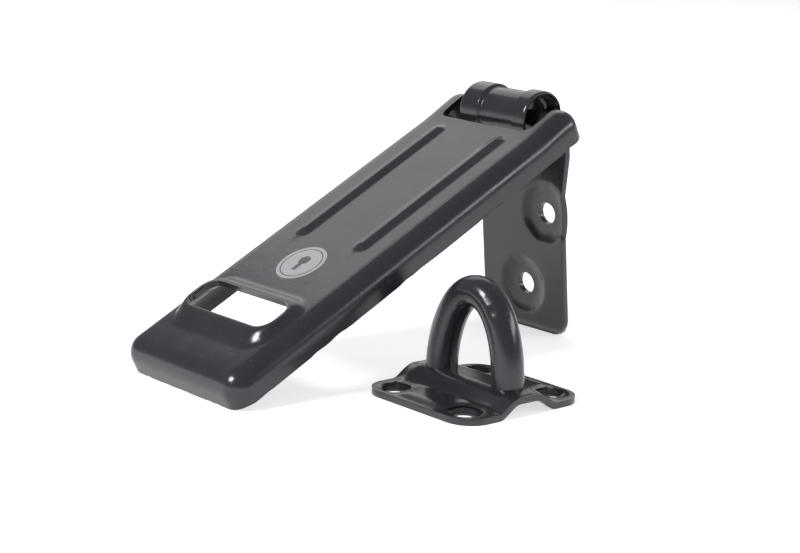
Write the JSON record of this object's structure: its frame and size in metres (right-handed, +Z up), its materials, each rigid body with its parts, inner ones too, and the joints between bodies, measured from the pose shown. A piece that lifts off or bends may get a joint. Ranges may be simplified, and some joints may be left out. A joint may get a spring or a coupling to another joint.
{
  "type": "hasp and staple",
  "caption": "Black painted steel hasp and staple: a ribbed, slotted arm hinged on a screw-down leaf, with a round-bar staple on its own plate, for a padlock on a door or gate.",
  "frame": {"origin": "middle of the bottom of the whole object's box, on the ground that the arm's nose edge, the leaf's foot and the staple plate stand on", "axes": "+X along the hinge pin, from the arm towards the staple; +Y from the arm's nose towards the hinge; +Z up"},
  "size_m": [0.0765, 0.1087, 0.0616],
  "materials": {
    "black_paint": "gloss"
  },
  "bodies": {
    "fixed_parts": {"hinge_leaf": "black_paint", "staple_plate": "black_paint", "staple_bow": "black_paint"},
    "arm": {"hasp_arm": "black_paint", "hinge_pin": "black_paint"}
  },
  "joints": [
    {"name": "hasp_hinge", "type": "hinge", "parent": "fixed_parts", "child": "arm", "pos_m": [-0.01725, 0.04302, 0.05481], "axis": [1, 0, 0], "range_deg": [-110.56, 69.44]}
  ]
}
